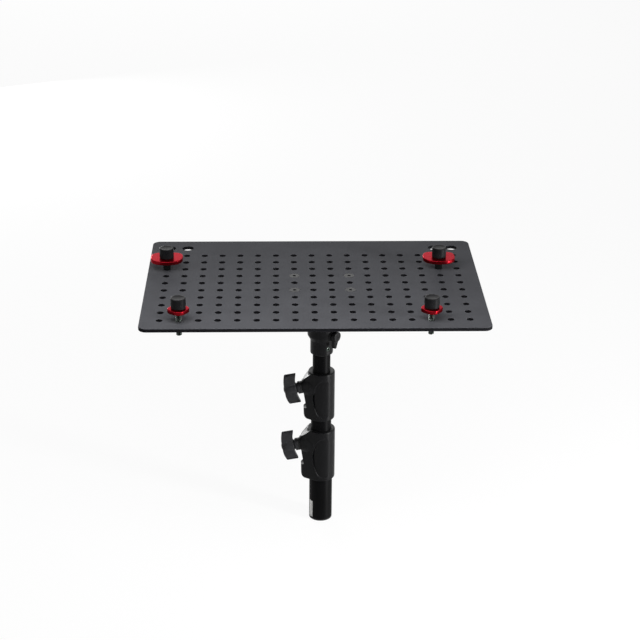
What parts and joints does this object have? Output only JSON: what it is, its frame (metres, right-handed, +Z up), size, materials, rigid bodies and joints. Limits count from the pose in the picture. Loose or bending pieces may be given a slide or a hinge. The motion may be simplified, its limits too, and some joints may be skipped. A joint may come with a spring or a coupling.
{
  "type": "tethering table",
  "caption": "Perforated laptop table on a telescopic stand column, with red cam clamps, a turning spigot socket and wing knob collars.",
  "frame": {"origin": "centre of the column's flat foot face, on the column's axis", "axes": "+Z up along the column, +X to the right and +Y away from the user who stands at the table"},
  "size_m": [0.46, 0.3135, 0.4011],
  "materials": {
    "plate_grey": "dark grey satin anodised sheet",
    "cast_black": "black semi-gloss paint on a casting",
    "tube_black": "black anodised drawn tube",
    "plastic_black": "black moulded plastic with glossy edges",
    "nylon": "black nylon",
    "steel": "bright zinc plate",
    "red_anodised": "red anodised, bright"
  },
  "bodies": {
    "base_column": {"base_tube_plug": "nylon", "base_tube": "tube_black", "lower_collar": "cast_black", "lower_collar_set_screw": "steel"},
    "middle_riser": {"middle_tube_guide": "nylon", "middle_tube": "tube_black", "upper_collar": "cast_black", "upper_collar_set_screw": "steel"},
    "top_riser": {"top_tube_guide": "nylon", "top_tube": "tube_black", "spigot": "steel", "spigot_pin": "steel"},
    "lower_shoe": {"lower_brake_shoe": "nylon"},
    "lower_lock": {"lower_lock_washer": "nylon", "lower_lock_bolt": "steel", "lower_wing_knob": "plastic_black"},
    "upper_shoe": {"upper_brake_shoe": "nylon"},
    "upper_lock": {"upper_lock_washer": "nylon", "upper_lock_bolt": "steel", "upper_wing_knob": "plastic_black"},
    "turn_washer": {"thrust_washer": "nylon"},
    "table": {"table_plate": "plate_grey", "stand_adapter": "cast_black", "socket_set_screw": "steel", "adapter_screw_front_left": "steel", "adapter_screw_front_right": "steel", "adapter_screw_back_left": "steel", "adapter_screw_back_right": "steel", "front_left_stud": "steel", "front_left_spacer": "steel", "front_left_lower_washer": "steel", "front_left_nut": "steel", "front_right_stud": "steel", "front_right_spacer": "steel", "front_right_lower_washer": "steel", "front_right_nut": "steel", "back_left_stud": "steel", "back_left_spacer": "steel", "back_left_lower_washer": "steel", "back_left_nut": "steel", "back_right_stud": "steel", "back_right_spacer": "steel", "back_right_lower_washer": "steel", "back_right_nut": "steel"},
    "pad": {"lock_pad": "nylon"},
    "lever": {"lever_screw": "steel", "lock_lever": "cast_black", "lever_cap": "steel"},
    "front_left_cam_body": {"front_left_cam": "red_anodised"},
    "front_left_lift": {"front_left_upper_washer": "steel"},
    "front_left_cap": {"front_left_knob": "plastic_black"},
    "front_right_cam_body": {"front_right_cam": "red_anodised"},
    "front_right_lift": {"front_right_upper_washer": "steel"},
    "front_right_cap": {"front_right_knob": "plastic_black"},
    "back_left_cam_body": {"back_left_cam": "red_anodised"},
    "back_left_lift": {"back_left_upper_washer": "steel"},
    "back_left_cap": {"back_left_knob": "plastic_black"},
    "back_right_cam_body": {"back_right_cam": "red_anodised"},
    "back_right_lift": {"back_right_upper_washer": "steel"},
    "back_right_cap": {"back_right_knob": "plastic_black"}
  },
  "joints": [
    {"name": "middle_riser_slide", "type": "slide", "parent": "base_column", "child": "middle_riser", "axis": [0, 0, 1], "range_m": [-0.017, 0.053]},
    {"name": "top_riser_slide", "type": "slide", "parent": "middle_riser", "child": "top_riser", "axis": [0, 0, 1], "range_m": [-0.028, 0.103]},
    {"name": "lower_lock_travel", "type": "slide", "parent": "base_column", "child": "lower_shoe", "axis": [-0.9848, 0, -0.1736], "range_m": [0, 0.00187]},
    {"name": "lower_lock_turn", "type": "hinge", "parent": "lower_shoe", "child": "lower_lock", "pos_m": [-0.03, 0, 0.119], "axis": [-0.9848, 0, -0.1736], "range_deg": [0, 540]},
    {"name": "upper_lock_travel", "type": "slide", "parent": "middle_riser", "child": "upper_shoe", "axis": [-0.9848, 0, -0.1736], "range_m": [0, 0.00187]},
    {"name": "upper_lock_turn", "type": "hinge", "parent": "upper_shoe", "child": "upper_lock", "pos_m": [-0.0265, 0, 0.2095], "axis": [-0.9848, 0, -0.1736], "range_deg": [0, 540]},
    {"name": "table_turn", "type": "hinge", "parent": "top_riser", "child": "turn_washer", "pos_m": [0, 0, 0.264], "axis": [0, 0, 1], "continuous": true},
    {"name": "table_lift", "type": "slide", "parent": "turn_washer", "child": "table", "axis": [0, 0, 1], "range_m": [0, 0.04]},
    {"name": "lever_travel", "type": "slide", "parent": "table", "child": "pad", "axis": [0.766, -0.6428, 0], "range_m": [0, 0.0009375]},
    {"name": "lever_turn", "type": "hinge", "parent": "pad", "child": "lever", "pos_m": [0, 0, 0.2945], "axis": [0.766, -0.6428, 0], "range_deg": [0, 270]},
    {"name": "front_left_cam_turn", "type": "hinge", "parent": "table", "child": "front_left_cam_body", "pos_m": [-0.1905, -0.127, 0.38], "axis": [0, 0, 1], "continuous": true},
    {"name": "front_left_knob_travel", "type": "slide", "parent": "table", "child": "front_left_lift", "axis": [0, 0, 1], "range_m": [0, 0.005]},
    {"name": "front_left_knob_turn", "type": "hinge", "parent": "front_left_lift", "child": "front_left_cap", "pos_m": [-0.1905, -0.127, 0.39], "axis": [0, 0, 1], "range_deg": [0, 1440]},
    {"name": "front_right_cam_turn", "type": "hinge", "parent": "table", "child": "front_right_cam_body", "pos_m": [0.1397, -0.127, 0.38], "axis": [0, 0, 1], "continuous": true},
    {"name": "front_right_knob_travel", "type": "slide", "parent": "table", "child": "front_right_lift", "axis": [0, 0, 1], "range_m": [0, 0.005]},
    {"name": "front_right_knob_turn", "type": "hinge", "parent": "front_right_lift", "child": "front_right_cap", "pos_m": [0.1397, -0.127, 0.39], "axis": [0, 0, 1], "range_deg": [0, 1440]},
    {"name": "back_left_cam_turn", "type": "hinge", "parent": "table", "child": "back_left_cam_body", "pos_m": [-0.2159, 0.0508, 0.38], "axis": [0, 0, 1], "continuous": true},
    {"name": "back_left_knob_travel", "type": "slide", "parent": "table", "child": "back_left_lift", "axis": [0, 0, 1], "range_m": [0, 0.005]},
    {"name": "back_left_knob_turn", "type": "hinge", "parent": "back_left_lift", "child": "back_left_cap", "pos_m": [-0.2159, 0.0508, 0.39], "axis": [0, 0, 1], "range_deg": [0, 1440]},
    {"name": "back_right_cam_turn", "type": "hinge", "parent": "table", "child": "back_right_cam_body", "pos_m": [0.1651, 0.0508, 0.38], "axis": [0, 0, 1], "continuous": true},
    {"name": "back_right_knob_travel", "type": "slide", "parent": "table", "child": "back_right_lift", "axis": [0, 0, 1], "range_m": [0, 0.005]},
    {"name": "back_right_knob_turn", "type": "hinge", "parent": "back_right_lift", "child": "back_right_cap", "pos_m": [0.1651, 0.0508, 0.39], "axis": [0, 0, 1], "range_deg": [0, 1440]}
  ],
  "couplings": [
    {"joint": "lower_lock_turn", "follows": "lower_lock_travel", "rad_per_m": 5026.5},
    {"joint": "upper_lock_turn", "follows": "upper_lock_travel", "rad_per_m": 5026.5},
    {"joint": "lever_turn", "follows": "lever_travel", "rad_per_m": 5026.5},
    {"joint": "front_left_knob_turn", "follows": "front_left_knob_travel", "rad_per_m": 5026.5},
    {"joint": "front_right_knob_turn", "follows": "front_right_knob_travel", "rad_per_m": 5026.5},
    {"joint": "back_left_knob_turn", "follows": "back_left_knob_travel", "rad_per_m": 5026.5},
    {"joint": "back_right_knob_turn", "follows": "back_right_knob_travel", "rad_per_m": 5026.5}
  ]
}
